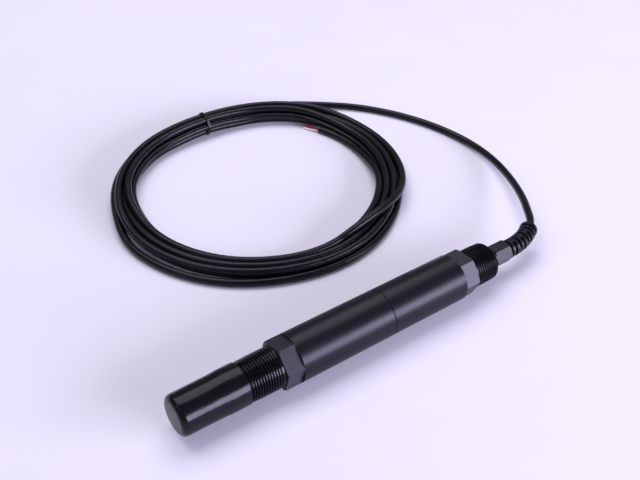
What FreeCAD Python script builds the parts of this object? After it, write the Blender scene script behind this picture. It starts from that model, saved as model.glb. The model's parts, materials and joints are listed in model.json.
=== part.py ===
import FreeCAD, Part
import math
import os
import re

import Sketcher

# Ammonia nitrogen sensor: a black plastic probe that lies on its barrel, with its cable coiled beside it.
# X runs along the probe from the cap to the cable, Z points up, and the floor is at Z = 0.
# Every turned piece is drawn about its own axis and then raised by the radius of the barrel.

doc = FreeCAD.newDocument("AmmoniaNitrogenSensor")
sheet = doc.addObject("Spreadsheet::Sheet", "Sheet")

# Driving sizes in millimetres and degrees
SIZES = {
    # Housing, milled and turned from round bar
    "barrel_radius": 16.0,
    "front_barrel_length": 69.0,
    "rear_barrel_length": 60.0,
    "front_hex_length": 11.5,
    "rear_hex_length": 11.5,
    "hex_flats": 28.0,
    "hex_bevel": 0.8,
    "front_hex_turn": 47.2,
    "rear_hex_turn": 56.7,
    "seam_bevel": 0.35,
    # Taper pipe thread, size three quarters: crest cone, then plain pipe
    "front_thread_length": 23.5,
    "rear_thread_length": 21.5,
    "thread_small_radius": 13.015,
    "pipe_radius": 13.335,
    "thread_taper_length": 10.24,
    "front_lead_in": 1.2,
    "rear_lead_in": 2.4,
    # Bores of the housing
    "stem_bore_radius": 9.4,
    "stem_bore_length": 27.5,
    "board_bore_radius": 12.0,
    "socket_radius": 13.6,
    "spigot_length": 14.0,
    "rear_bore_radius": 11.2,
    "gland_bore_radius": 6.9,
    "gland_neck_length": 24.0,
    "seat_clearance": 0.1,
    "seal_clearance": 0.02,
    # Seal rings
    "housing_ring_section": 0.9,
    "housing_ring_inset": 5.0,
    "head_ring_section": 0.8,
    "head_ring_inset": 4.0,
    "ring_side_room": 0.3,
    # Push-on cap
    "cap_length": 44.0,
    "cap_end_wall": 1.8,
    "cap_wall": 1.4,
    "cap_clearance": 0.15,
    "cap_draft": 0.2,
    "cap_flare_length": 6.5,
    "cap_tip_round": 3.8,
    "cap_lip_round": 0.4,
    # Sensing head
    "flange_radius": 12.0,
    "flange_length": 10.5,
    "flange_bevel": 0.8,
    "nose_radius": 9.6,
    "nose_length": 7.0,
    "stem_length": 22.0,
    "guard_radius": 11.4,
    "guard_length": 27.0,
    "guard_slot_width": 6.0,
    "guard_slot_depth": 16.0,
    "guard_bevel": 0.6,
    "electrode_circle": 4.7,
    "electrode_radius": 2.3,
    "electrode_reach": 14.0,
    "electrode_tail": 3.0,
    "membrane_radius": 1.7,
    "membrane_thickness": 0.7,
    "bulb_radius": 2.1,
    "bulb_neck_radius": 1.5,
    "bulb_seat_depth": 2.0,
    "junction_radius": 1.1,
    "junction_length": 1.6,
    "junction_proud": 0.25,
    "probe_radius": 1.5,
    "probe_reach": 12.5,
    "terminal_radius": 8.0,
    "terminal_length": 5.0,
    "harness_radius": 2.2,
    "harness_length": 14.0,
    # Electronics
    "board_length": 96.0,
    "board_width": 20.0,
    "board_thickness": 1.6,
    "connector_length": 8.0,
    "connector_width": 14.0,
    "connector_height": 8.0,
    "holder_ring_length": 5.0,
    "holder_ring_wall": 3.0,
    "front_ring_inset": 4.0,
    "rear_ring_inset": 3.0,
    "board_slot_room": 0.1,
    "amplifier_length": 9.0,
    "amplifier_width": 6.5,
    "amplifier_height": 1.7,
    "amplifier_inset": 16.0,
    "processor_side": 12.0,
    "processor_height": 1.4,
    "processor_inset": 33.0,
    "converter_length": 18.0,
    "converter_width": 10.0,
    "converter_height": 5.5,
    "converter_inset": 55.0,
    "capacitor_radius": 3.0,
    "capacitor_height": 6.5,
    "capacitor_inset": 50.0,
    # Cable outlet
    "cable_radius": 3.0,
    "bore_room": 0.15,
    "outlet_stub_length": 16.0,
    "outlet_collar_radius": 7.5,
    "outlet_collar_length": 3.5,
    "outlet_neck_radius": 5.6,
    "outlet_neck_length": 9.0,
    "seal_radius": 4.5,
    "seal_length": 7.0,
    "nut_flats": 14.1,
    "nut_length": 13.8,
    "nut_bevel": 0.7,
    "nut_turn": 2.0,
    "relief_start": 4.5,
    "relief_bend_radius": 50.0,
    "relief_bend_angle": 30.0,
    "relief_core_radius": 4.5,
    "relief_tip_length": 2.6,
    "relief_tip_radius": 6.4,
    "rib_first_radius": 6.6,
    "rib_last_radius": 6.3,
    "rib_thickness": 2.2,
    "rib_pitch": 4.0,
    "rib_offset": 3.4,
    "web_width": 3.4,
    "web_inset": 0.25,
    # Coil of cable, its tie and its stripped end
    "coil_centre_x": 53.0,
    "coil_centre_y": 181.0,
    "coil_radius": 107.0,
    "coil_stretch": 5.0,
    "coil_turn": 38.0,
    "coil_width": 20.0,
    "coil_height": 13.5,
    "coil_round": 5.5,
    "tie_turn": 49.6,
    "tie_width": 3.6,
    "tie_thickness": 1.1,
    "tie_side_room": 0.4,
    "tie_head_length": 5.4,
    "tie_head_height": 3.6,
    "tie_head_angle": 128.0,
    "bundle_radius": 8.9,
    "bundle_angle": 30.0,
    "waist_depth": 0.3,
    "wire_radius": 0.8,
    "wire_length": 17.0,
    "wire_pitch": 1.8,
    "free_end_x": 139.3,
    "free_end_y": 231.5,
    "free_end_heading": 126.0,
    "free_end_length": 34.0,
    "free_end_lift": 0.2,
}

for row, (alias, size) in enumerate(SIZES.items(), start=1):
    sheet.set(f"A{row}", alias.replace("_", " "))
    sheet.set(f"B{row}", str(size))
    sheet.setAlias(f"B{row}", alias)
doc.recompute()

WORD = re.compile(r"[a-z][a-z0-9_]*")


def bind(formula):
    """A formula of size names, written the way the document reads it."""
    return WORD.sub(lambda word: f"Sheet.{word[0]}" if word[0] in SIZES else word[0], formula)


def value(formula):
    """What a formula of size names comes to."""
    return float(sheet.evalExpression(bind(formula)))


# Stations along the probe, from the tip of the cap to the end of the rear thread
TOTAL = (
    "(cap_length + front_thread_length + front_hex_length + front_barrel_length"
    " + rear_barrel_length + rear_hex_length + rear_thread_length)"
)
TIP = f"(-{TOTAL} / 2)"
SHOULDER = f"({TIP} + cap_length)"
SEAM = f"({SHOULDER} + front_thread_length + front_hex_length + front_barrel_length)"
FRONT_LENGTH = "(front_thread_length + front_hex_length + front_barrel_length)"
REAR_LENGTH = "(spigot_length + rear_barrel_length + rear_hex_length + rear_thread_length)"
END = f"({TOTAL} / 2)"
FLANGE = f"({SHOULDER} - flange_length)"
NOSE = f"({FLANGE} - nose_length)"
ELECTRODE_TIP = f"({NOSE} - electrode_reach)"
ELECTRODE_LENGTH = "(electrode_reach + nose_length + flange_length + stem_length + electrode_tail)"
TERMINALS = f"({SHOULDER} + stem_length + electrode_tail)"
FRONT_CONNECTOR = f"({TERMINALS} + terminal_length + harness_length)"
BOARD = f"({FRONT_CONNECTOR} + connector_length)"
REAR_CONNECTOR = f"({BOARD} + board_length)"
NUT = f"({END} + outlet_collar_length)"
RELIEF = f"({NUT} + nut_length)"
BEND = f"({RELIEF} + relief_start)"
BORE = "(cable_radius + bore_room)"
AXIS = "barrel_radius"

pieces = {}


def place(piece, x, y, z):
    """Ties the place of a piece to the sheet."""
    piece.setExpression("Placement.Base.x", bind(x))
    piece.setExpression("Placement.Base.y", bind(y))
    piece.setExpression("Placement.Base.z", bind(z))


def new_body(label, x, y="0", z=AXIS):
    """An empty body with its label and place."""
    body = doc.addObject("PartDesign::Body", label)
    body.Label = label
    place(body, x, y, z)
    pieces[label] = body
    return body


def new_sketch(body, name, role, offset="0", turn="0"):
    """A sketch on one of the body's own planes, moved along and turned about that plane's normal."""
    sketch = body.newObject("Sketcher::SketchObject", name)
    plane = [feature for feature in body.Origin.OriginFeatures if feature.Role == role][0]
    sketch.AttachmentSupport = (plane, "")
    sketch.MapMode = "FlatFace"
    sketch.AttachmentOffset = FreeCAD.Placement(
        FreeCAD.Vector(0, 0, value(offset)), FreeCAD.Rotation(FreeCAD.Vector(0, 0, 1), value(turn))
    )
    sketch.setExpression("AttachmentOffset.Base.z", bind(offset))
    if turn != "0":
        sketch.setExpression("AttachmentOffset.Rotation.Angle", bind(turn))
    return sketch


def pin(sketch, direction, geometry, point, formula):
    """Holds one coordinate of a point to a formula, or to the sketch's axis where it is nought."""
    size = value(formula)
    if abs(size) < 1e-9:
        axis = -2 if direction == "DistanceX" else -1
        sketch.addConstraint(Sketcher.Constraint("PointOnObject", geometry, point, axis))
    elif size > 0:
        number = sketch.addConstraint(Sketcher.Constraint(direction, -1, 1, geometry, point, size))
        sketch.setExpression(f"Constraints[{number}]", bind(formula))
    else:
        number = sketch.addConstraint(Sketcher.Constraint(direction, geometry, point, -1, 1, -size))
        sketch.setExpression(f"Constraints[{number}]", bind(f"-({formula})"))


def add_outline(sketch, corners):
    """A closed outline of straight lines, each corner a pair of formulas."""
    first = sketch.GeometryCount
    spots = [FreeCAD.Vector(value(across), value(up), 0) for across, up in corners]
    for number, spot in enumerate(spots):
        sketch.addGeometry(Part.LineSegment(spot, spots[(number + 1) % len(spots)]))
    for number, (across, up) in enumerate(corners):
        before = first + (number - 1) % len(corners)
        sketch.addConstraint(Sketcher.Constraint("Coincident", before, 2, first + number, 1))
        pin(sketch, "DistanceX", first + number, 1, across)
        pin(sketch, "DistanceY", first + number, 1, up)


def add_circle(sketch, across, up, radius):
    """A circle with its centre and radius tied to the sheet."""
    centre = FreeCAD.Vector(value(across), value(up), 0)
    number = sketch.addGeometry(Part.Circle(centre, FreeCAD.Vector(0, 0, 1), value(radius)))
    pin(sketch, "DistanceX", number, 3, across)
    pin(sketch, "DistanceY", number, 3, up)
    size = sketch.addConstraint(Sketcher.Constraint("Radius", number, value(radius)))
    sketch.setExpression(f"Constraints[{size}]", bind(radius))


def add_hexagon(sketch, flats):
    """A hexagon about the origin with one corner on the sketch's horizontal axis."""
    corner = f"({flats} / 2 / cos(30))"
    turns = range(0, 360, 60)
    add_outline(sketch, [(f"({corner} * cos({turn}))", f"({corner} * sin({turn}))") for turn in turns])


def turned_body(label, start, corners, y="0", z=AXIS):
    """A piece turned about its own X axis from half of its section."""
    body = new_body(label, start, y, z)
    sketch = new_sketch(body, f"{label}_section", "XZ_Plane")
    add_outline(sketch, corners)
    turn = body.newObject("PartDesign::Revolution", f"{label}_turning")
    turn.Profile = sketch
    turn.ReferenceAxis = (sketch, ["H_Axis"])
    turn.Angle = 360
    doc.recompute()
    return body


def pocket(body, sketch, name, length=None):
    """Cuts a sketch out of a body, through everything or to a length along the plane's normal."""
    before = body.Shape.Volume
    cut = body.newObject("PartDesign::Pocket", name)
    cut.Profile = sketch
    if length is None:
        cut.Type = "ThroughAll"
        cut.Midplane = True
    else:
        cut.setExpression("Length", bind(length))
        cut.Reversed = True
    doc.recompute()
    if body.Shape.Volume >= before - 1e-6:
        raise RuntimeError(f"{name} removes nothing from {body.Label}")
    return cut


def repeat_about_axis(body, feature, name, copies, angle=360):
    """Repeats a feature about the body's X axis."""
    before = body.Shape.Volume
    pattern = body.newObject("PartDesign::PolarPattern", name)
    pattern.Originals = [feature]
    axis = [part for part in body.Origin.OriginFeatures if part.Role == "X_Axis"][0]
    pattern.Axis = (axis, [""])
    pattern.Angle = angle
    pattern.Occurrences = copies
    body.Tip = pattern
    doc.recompute()
    if body.Shape.Volume >= before - 1e-6:
        raise RuntimeError(f"{name} repeats nothing on {body.Label}")
    return pattern


def soften(body, name, kind, size, wanted):
    """A fillet or chamfer on each edge that the given test picks."""
    base = body.Tip
    edges = [f"Edge{number}" for number, edge in enumerate(base.Shape.Edges, start=1) if wanted(edge)]
    if not edges:
        raise RuntimeError(f"{name} finds no edge on {body.Label}")
    feature = body.newObject(f"PartDesign::{kind}", name)
    feature.Base = (base, edges)
    feature.setExpression("Radius" if kind == "Fillet" else "Size", bind(size))
    doc.recompute()
    return feature


def is_ring(edge, x, radius):
    """Whether an edge is a whole circle about the local X axis at a station, with a radius."""
    if edge.Curve.TypeId != "Part::GeomCircle":
        return False
    return abs(edge.Curve.Radius - radius) < 1e-3 and abs(edge.Curve.Center.x - x) < 1e-3


# Hexagons: six flats milled into the bar, so the corners keep the bar's own round
def mill_hexagon(body, start, length, turn):
    sketch = new_sketch(body, f"{body.Label}_flats", "YZ_Plane", start, turn)
    add_circle(sketch, "0", "0", "barrel_radius + 4")
    add_hexagon(sketch, "hex_flats")
    pocket(body, sketch, f"{body.Label}_milling", length)


# Front housing: pipe thread, hexagon and the front of the barrel, bored for the head and the board
front_housing = turned_body("front_housing", SHOULDER, [
    ("0", "thread_small_radius - front_lead_in"),
    ("front_lead_in", "thread_small_radius"),
    ("thread_taper_length", "pipe_radius"),
    ("front_thread_length", "pipe_radius"),
    ("front_thread_length", "barrel_radius - hex_bevel"),
    ("front_thread_length + hex_bevel", "barrel_radius"),
    (f"{FRONT_LENGTH} - seam_bevel", "barrel_radius"),
    (FRONT_LENGTH, "barrel_radius - seam_bevel"),
    (FRONT_LENGTH, "socket_radius"),
    (f"{FRONT_LENGTH} - spigot_length", "socket_radius"),
    (f"{FRONT_LENGTH} - spigot_length", "board_bore_radius"),
    ("stem_bore_length", "board_bore_radius"),
    ("stem_bore_length", "stem_bore_radius"),
    ("0", "stem_bore_radius"),
])
mill_hexagon(front_housing, "front_thread_length", "front_hex_length", "front_hex_turn")

# Rear housing: its spigot fits the front housing's socket and carries a seal ring
SPIGOT_RADIUS = "(socket_radius - seat_clearance)"
GROOVE_FLOOR = "(socket_radius - 2 * housing_ring_section)"
GROOVE_START = "(spigot_length - housing_ring_inset - housing_ring_section - ring_side_room)"
GROOVE_END = "(spigot_length - housing_ring_inset + housing_ring_section + ring_side_room)"
REAR_HEX_START = "(spigot_length + rear_barrel_length)"
REAR_HEX_END = f"({REAR_HEX_START} + rear_hex_length)"
rear_housing = turned_body("rear_housing", f"({SEAM} - spigot_length)", [
    ("0", "rear_bore_radius"),
    ("0", SPIGOT_RADIUS),
    (GROOVE_START, SPIGOT_RADIUS),
    (GROOVE_START, GROOVE_FLOOR),
    (GROOVE_END, GROOVE_FLOOR),
    (GROOVE_END, SPIGOT_RADIUS),
    ("spigot_length", SPIGOT_RADIUS),
    ("spigot_length", "barrel_radius - seam_bevel"),
    ("spigot_length + seam_bevel", "barrel_radius"),
    (f"{REAR_HEX_END} - hex_bevel", "barrel_radius"),
    (REAR_HEX_END, "barrel_radius - hex_bevel"),
    (REAR_HEX_END, "pipe_radius"),
    (f"{REAR_LENGTH} - thread_taper_length", "pipe_radius"),
    (f"{REAR_LENGTH} - rear_lead_in", "thread_small_radius"),
    (REAR_LENGTH, "thread_small_radius - rear_lead_in"),
    (REAR_LENGTH, "gland_bore_radius"),
    (f"{REAR_LENGTH} - gland_neck_length", "gland_bore_radius"),
    (f"{REAR_LENGTH} - gland_neck_length", "rear_bore_radius"),
])
mill_hexagon(rear_housing, REAR_HEX_START, "rear_hex_length", "rear_hex_turn")


def seal_ring(label, station, wall_radius, section):
    """A round seal ring that lies against the wall around it."""
    ring = doc.addObject("Part::Torus", label)
    ring.Label = label
    ring.Placement = FreeCAD.Placement(
        FreeCAD.Vector(value(station), 0, value(AXIS)), FreeCAD.Rotation(FreeCAD.Vector(0, 1, 0), 90)
    )
    place(ring, station, "0", AXIS)
    ring.setExpression("Radius1", bind(f"{wall_radius} - {section}"))
    ring.setExpression("Radius2", bind(f"{section} - seal_clearance"))
    pieces[label] = ring
    return ring


seal_ring("housing_o_ring", f"({SEAM} - housing_ring_inset)", "socket_radius", "housing_ring_section")

# Push-on cap: drawn over the guard, then flared over the wider flange behind it
CAP_FLANGE_X = "(cap_length - flange_length)"
CAP_WAIST_X = f"({CAP_FLANGE_X} - cap_flare_length)"
CAP_TIP_BORE = "(guard_radius + cap_clearance)"
CAP_WAIST_BORE = f"({CAP_TIP_BORE} + cap_draft)"
CAP_MOUTH_BORE = "(flange_radius + cap_clearance)"
protective_cap = turned_body("protective_cap", TIP, [
    ("0", "0"),
    ("0", f"{CAP_TIP_BORE} + cap_wall"),
    (CAP_WAIST_X, f"{CAP_WAIST_BORE} + cap_wall"),
    (CAP_FLANGE_X, f"{CAP_MOUTH_BORE} + cap_wall"),
    ("cap_length", f"{CAP_MOUTH_BORE} + cap_wall"),
    ("cap_length", CAP_MOUTH_BORE),
    (CAP_FLANGE_X, CAP_MOUTH_BORE),
    (CAP_WAIST_X, CAP_WAIST_BORE),
    ("cap_end_wall", CAP_TIP_BORE),
    ("cap_end_wall", "0"),
])
CAP_TIP_OUTER = value(f"{CAP_TIP_BORE} + cap_wall")
CAP_MOUTH_OUTER = value(f"{CAP_MOUTH_BORE} + cap_wall")
soften(protective_cap, "cap_tip_fillet", "Fillet", "cap_tip_round",
       lambda edge: is_ring(edge, 0.0, CAP_TIP_OUTER))
soften(protective_cap, "cap_lip_fillet", "Fillet", "cap_lip_round",
       lambda edge: is_ring(edge, value("cap_length"), CAP_MOUTH_OUTER))

# Electrode holder: nose for the guard, flange against the thread's end, stem with a seal ring in the bore
STEM_RADIUS = "(stem_bore_radius - seat_clearance)"
HEAD_GROOVE_FLOOR = "(stem_bore_radius - 2 * head_ring_section)"
HOLDER_FLANGE_END = "(nose_length + flange_length)"
HEAD_GROOVE_START = f"({HOLDER_FLANGE_END} + head_ring_inset - head_ring_section - ring_side_room)"
HEAD_GROOVE_END = f"({HOLDER_FLANGE_END} + head_ring_inset + head_ring_section + ring_side_room)"
HOLDER_LENGTH = f"({HOLDER_FLANGE_END} + stem_length)"
electrode_holder = turned_body("electrode_holder", NOSE, [
    ("0", "0"),
    ("0", "nose_radius"),
    ("nose_length", "nose_radius"),
    ("nose_length", "flange_radius - flange_bevel"),
    ("nose_length + flange_bevel", "flange_radius"),
    (HOLDER_FLANGE_END, "flange_radius"),
    (HOLDER_FLANGE_END, STEM_RADIUS),
    (HEAD_GROOVE_START, STEM_RADIUS),
    (HEAD_GROOVE_START, HEAD_GROOVE_FLOOR),
    (HEAD_GROOVE_END, HEAD_GROOVE_FLOOR),
    (HEAD_GROOVE_END, STEM_RADIUS),
    (HOLDER_LENGTH, STEM_RADIUS),
    (HOLDER_LENGTH, "0"),
])
bore_sketch = new_sketch(electrode_holder, "electrode_bore_outline", "YZ_Plane")
add_circle(bore_sketch, "0", "electrode_circle", "electrode_radius + seat_clearance")
electrode_bore = pocket(electrode_holder, bore_sketch, "electrode_bore", HOLDER_LENGTH)
repeat_about_axis(electrode_holder, electrode_bore, "electrode_bores", 3)
probe_sketch = new_sketch(electrode_holder, "probe_bore_outline", "YZ_Plane")
add_circle(probe_sketch, "0", "0", "probe_radius + seat_clearance")
pocket(electrode_holder, probe_sketch, "probe_bore", HOLDER_LENGTH)

seal_ring("head_o_ring", f"({SHOULDER} + head_ring_inset)", "stem_bore_radius", "head_ring_section")

# Guard: a tube on the holder's nose with four round-bottomed slots open to the front
GUARD_BORE = "(nose_radius + seat_clearance)"
SLOT_CENTRE = "(guard_slot_depth - guard_slot_width / 2)"
electrode_guard = turned_body("electrode_guard", f"({FLANGE} - guard_length)", [
    ("0", GUARD_BORE),
    ("0", "guard_radius - guard_bevel"),
    ("guard_bevel", "guard_radius"),
    ("guard_length", "guard_radius"),
    ("guard_length", GUARD_BORE),
])
slot_sketch = new_sketch(electrode_guard, "guard_slot_outline", "XY_Plane")
add_outline(slot_sketch, [
    ("0", "-guard_slot_width / 2"),
    (SLOT_CENTRE, "-guard_slot_width / 2"),
    (SLOT_CENTRE, "guard_slot_width / 2"),
    ("0", "guard_slot_width / 2"),
])
guard_slot = pocket(electrode_guard, slot_sketch, "guard_slot")
repeat_about_axis(electrode_guard, guard_slot, "guard_slots", 2, 90)
round_sketch = new_sketch(electrode_guard, "guard_slot_round", "XY_Plane")
add_circle(round_sketch, SLOT_CENTRE, "0", "guard_slot_width / 2")
slot_bottom = pocket(electrode_guard, round_sketch, "guard_slot_bottom")
repeat_about_axis(electrode_guard, slot_bottom, "guard_slot_bottoms", 2, 90)


def electrode_place(turn):
    """Where an electrode's axis crosses the probe, as formulas for Y and Z."""
    return f"(-electrode_circle * sin({turn}))", f"(barrel_radius + electrode_circle * cos({turn}))"


# Electrodes: three rods on a circle, each with its own sensing tip, and a steel probe in the middle
def electrode(label, turn, seat_radius, seat_depth):
    across, height = electrode_place(turn)
    return turned_body(label, ELECTRODE_TIP, [
        ("0", seat_radius),
        ("0", "electrode_radius"),
        (ELECTRODE_LENGTH, "electrode_radius"),
        (ELECTRODE_LENGTH, "0"),
        (seat_depth, "0"),
        (seat_depth, seat_radius),
    ], across, height)


electrode("ammonium_electrode", 0, "membrane_radius", "membrane_thickness")
electrode("ph_electrode", 120, "bulb_neck_radius", "bulb_seat_depth")
electrode("reference_electrode", 240, "junction_radius", "junction_length")

across, height = electrode_place(0)
turned_body("ammonium_membrane", ELECTRODE_TIP, [
    ("0", "0"),
    ("0", "membrane_radius"),
    ("membrane_thickness", "membrane_radius"),
    ("membrane_thickness", "0"),
], across, height)

across, height = electrode_place(240)
turned_body("reference_junction", f"({ELECTRODE_TIP} - junction_proud)", [
    ("0", "0"),
    ("0", "junction_radius"),
    ("junction_length + junction_proud", "junction_radius"),
    ("junction_length + junction_proud", "0"),
], across, height)

# Glass bulb: a round end on a neck that stands in the electrode's mouth
across, height = electrode_place(120)
BULB_START = "(2 * bulb_radius)"
ph_bulb = turned_body("ph_bulb", f"({ELECTRODE_TIP} - {BULB_START})", [
    ("0", "0"),
    ("0", "bulb_radius"),
    (BULB_START, "bulb_radius"),
    (BULB_START, "bulb_neck_radius"),
    (f"{BULB_START} + bulb_seat_depth", "bulb_neck_radius"),
    (f"{BULB_START} + bulb_seat_depth", "0"),
], across, height)
BULB_RADIUS = value("bulb_radius")
soften(ph_bulb, "bulb_front", "Fillet", "bulb_radius * 0.98", lambda edge: is_ring(edge, 0.0, BULB_RADIUS))
soften(ph_bulb, "bulb_back", "Fillet", "(bulb_radius - bulb_neck_radius) * 0.9",
       lambda edge: is_ring(edge, value(BULB_START), BULB_RADIUS))

PROBE_LENGTH = "(probe_reach + nose_length + flange_length + stem_length + electrode_tail)"
temperature_probe = turned_body("temperature_probe", f"({NOSE} - probe_reach)", [
    ("0", "0"),
    ("0", "probe_radius"),
    (PROBE_LENGTH, "probe_radius"),
    (PROBE_LENGTH, "0"),
])
PROBE_RADIUS = value("probe_radius")
soften(temperature_probe, "probe_dome", "Fillet", "probe_radius * 0.96",
       lambda edge: is_ring(edge, 0.0, PROBE_RADIUS))

# Harness: a moulded terminal block on the electrodes' tails and a sleeved bundle to the board
turned_body("electrode_harness", TERMINALS, [
    ("0", "0"),
    ("0", "terminal_radius"),
    ("terminal_length", "terminal_radius"),
    ("terminal_length", "harness_radius"),
    ("terminal_length + harness_length", "harness_radius"),
    ("terminal_length + harness_length", "0"),
])


# Electronics: a long board on the axis between two connectors, held by two notched rings
def block(label, start, length, width, bottom, tall):
    """A box centred across the probe, with its underside at a height above the axis."""
    box = doc.addObject("Part::Box", label)
    box.Label = label
    box.setExpression("Length", bind(length))
    box.setExpression("Width", bind(width))
    box.setExpression("Height", bind(tall))
    place(box, start, f"-({width}) / 2", f"barrel_radius + ({bottom})")
    pieces[label] = box
    return box


BOARD_TOP = "board_thickness / 2"
block("signal_board", BOARD, "board_length", "board_width", "-board_thickness / 2", "board_thickness")
block("front_connector", FRONT_CONNECTOR, "connector_length", "connector_width",
      "-connector_height / 2", "connector_height")
block("rear_connector", REAR_CONNECTOR, "connector_length", "connector_width",
      "-connector_height / 2", "connector_height")
block("amplifier_chip", f"({BOARD} + amplifier_inset)", "amplifier_length", "amplifier_width",
      BOARD_TOP, "amplifier_height")
block("processor_chip", f"({BOARD} + processor_inset)", "processor_side", "processor_side",
      BOARD_TOP, "processor_height")
block("converter_module", f"({BOARD} + converter_inset)", "converter_length", "converter_width",
      BOARD_TOP, "converter_height")

capacitor = doc.addObject("Part::Cylinder", "capacitor")
capacitor.Label = "capacitor"
capacitor.setExpression("Radius", bind("capacitor_radius"))
capacitor.setExpression("Height", bind("capacitor_height"))
place(capacitor, f"({BOARD} + capacitor_inset)", "0", f"barrel_radius + {BOARD_TOP}")
pieces["capacitor"] = capacitor


def board_ring(label, start, bore):
    """A ring in a bore, notched on both sides for the edges of the board."""
    ring = turned_body(label, start, [
        ("0", f"{bore} - seat_clearance - holder_ring_wall"),
        ("0", f"{bore} - seat_clearance"),
        ("holder_ring_length", f"{bore} - seat_clearance"),
        ("holder_ring_length", f"{bore} - seat_clearance - holder_ring_wall"),
    ])
    notch = new_sketch(ring, f"{label}_notch_outline", "YZ_Plane")
    half_width = "(board_width / 2 + board_slot_room)"
    half_height = "(board_thickness / 2 + board_slot_room)"
    add_outline(notch, [
        (f"-{half_width}", f"-{half_height}"),
        (half_width, f"-{half_height}"),
        (half_width, half_height),
        (f"-{half_width}", half_height),
    ])
    pocket(ring, notch, f"{label}_notch", "holder_ring_length")


board_ring("front_board_ring", f"({BOARD} + front_ring_inset)", "board_bore_radius")
board_ring("rear_board_ring", f"({REAR_CONNECTOR} - rear_ring_inset - holder_ring_length)", "rear_bore_radius")

# Gland body: stub in the housing, collar against its end, neck inside the nut, bush for the seal
GLAND_COLLAR_END = "(outlet_stub_length + outlet_collar_length)"
GLAND_LENGTH = f"({GLAND_COLLAR_END} + outlet_neck_length)"
turned_body("gland_body", f"({END} - outlet_stub_length)", [
    ("0", BORE),
    ("0", "gland_bore_radius - seat_clearance"),
    ("outlet_stub_length", "gland_bore_radius - seat_clearance"),
    ("outlet_stub_length", "outlet_collar_radius"),
    (GLAND_COLLAR_END, "outlet_collar_radius"),
    (GLAND_COLLAR_END, "outlet_neck_radius"),
    (GLAND_LENGTH, "outlet_neck_radius"),
    (GLAND_LENGTH, "seal_radius"),
    (f"{GLAND_LENGTH} - seal_length", "seal_radius"),
    (f"{GLAND_LENGTH} - seal_length", BORE),
])
turned_body("gland_seal", f"({NUT} + outlet_neck_length - seal_length)", [
    ("0", "cable_radius + seal_clearance"),
    ("0", "seal_radius - seal_clearance"),
    ("seal_length", "seal_radius - seal_clearance"),
    ("seal_length", "cable_radius + seal_clearance"),
])


# Bend relief: one moulding of the hexagonal nut and a ribbed, curved sleeve that thins to its tip
def cylinder(name, radius, length, x, y="0", z=AXIS, heading="0"):
    """A round bar that lies flat and points along a heading."""
    bar = doc.addObject("Part::Cylinder", name)
    bar.setExpression("Radius", bind(radius))
    bar.setExpression("Height", bind(length))
    flat = FreeCAD.Rotation(FreeCAD.Vector(0, 1, 0), 90)
    bar.Placement = FreeCAD.Placement(
        FreeCAD.Vector(), FreeCAD.Rotation(FreeCAD.Vector(0, 0, 1), value(heading)).multiply(flat)
    )
    place(bar, x, y, z)
    return bar


def bend(name, radius):
    """A sector of a ring from the straight start of the relief to its tip."""
    sector = doc.addObject("Part::Torus", name)
    sector.Placement = FreeCAD.Placement(FreeCAD.Vector(), FreeCAD.Rotation(FreeCAD.Vector(0, 0, 1), -90))
    sector.setExpression("Radius1", bind("relief_bend_radius"))
    sector.setExpression("Radius2", bind(radius))
    sector.setExpression("Angle3", bind("relief_bend_angle"))
    place(sector, BEND, "relief_bend_radius", AXIS)
    return sector


TIP_X = f"({BEND} + relief_bend_radius * sin(relief_bend_angle))"
TIP_Y = "(relief_bend_radius * (1 - cos(relief_bend_angle)))"


def on_relief(distance):
    """X, Y and heading on the sleeve's centreline at a distance from the nut, as formulas."""
    if distance <= value("relief_start"):
        return f"({RELIEF} + {distance})", "0", "0"
    angle = f"(({distance} - relief_start) / relief_bend_radius * 180 / pi)"
    x = f"({BEND} + relief_bend_radius * sin({angle}))"
    y = f"(relief_bend_radius * (1 - cos({angle})))"
    return x, y, angle


nut_body = doc.addObject("PartDesign::Body", "relief_nut")
place(nut_body, NUT, "0", AXIS)
nut_sketch = new_sketch(nut_body, "relief_nut_outline", "YZ_Plane", "0", "nut_turn")
add_hexagon(nut_sketch, "nut_flats")
nut_pad = nut_body.newObject("PartDesign::Pad", "relief_nut_pad")
nut_pad.Profile = nut_sketch
nut_pad.setExpression("Length", bind("nut_length"))
doc.recompute()
nut_round = doc.addObject("Part::Cone", "relief_nut_round")
nut_round.Placement = FreeCAD.Placement(FreeCAD.Vector(), FreeCAD.Rotation(FreeCAD.Vector(0, 1, 0), 90))
place(nut_round, NUT, "0", AXIS)
NUT_CORNER = "(nut_flats / 2 / cos(30))"
nut_round.setExpression("Radius1", bind(f"{NUT_CORNER} + nut_length * 0.5"))
nut_round.setExpression("Radius2", bind(f"{NUT_CORNER} - nut_bevel"))
nut_round.setExpression("Height", bind("nut_length"))
nut = doc.addObject("Part::Common", "relief_nut_bevelled")
nut.Base = nut_body
nut.Tool = nut_round

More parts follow.
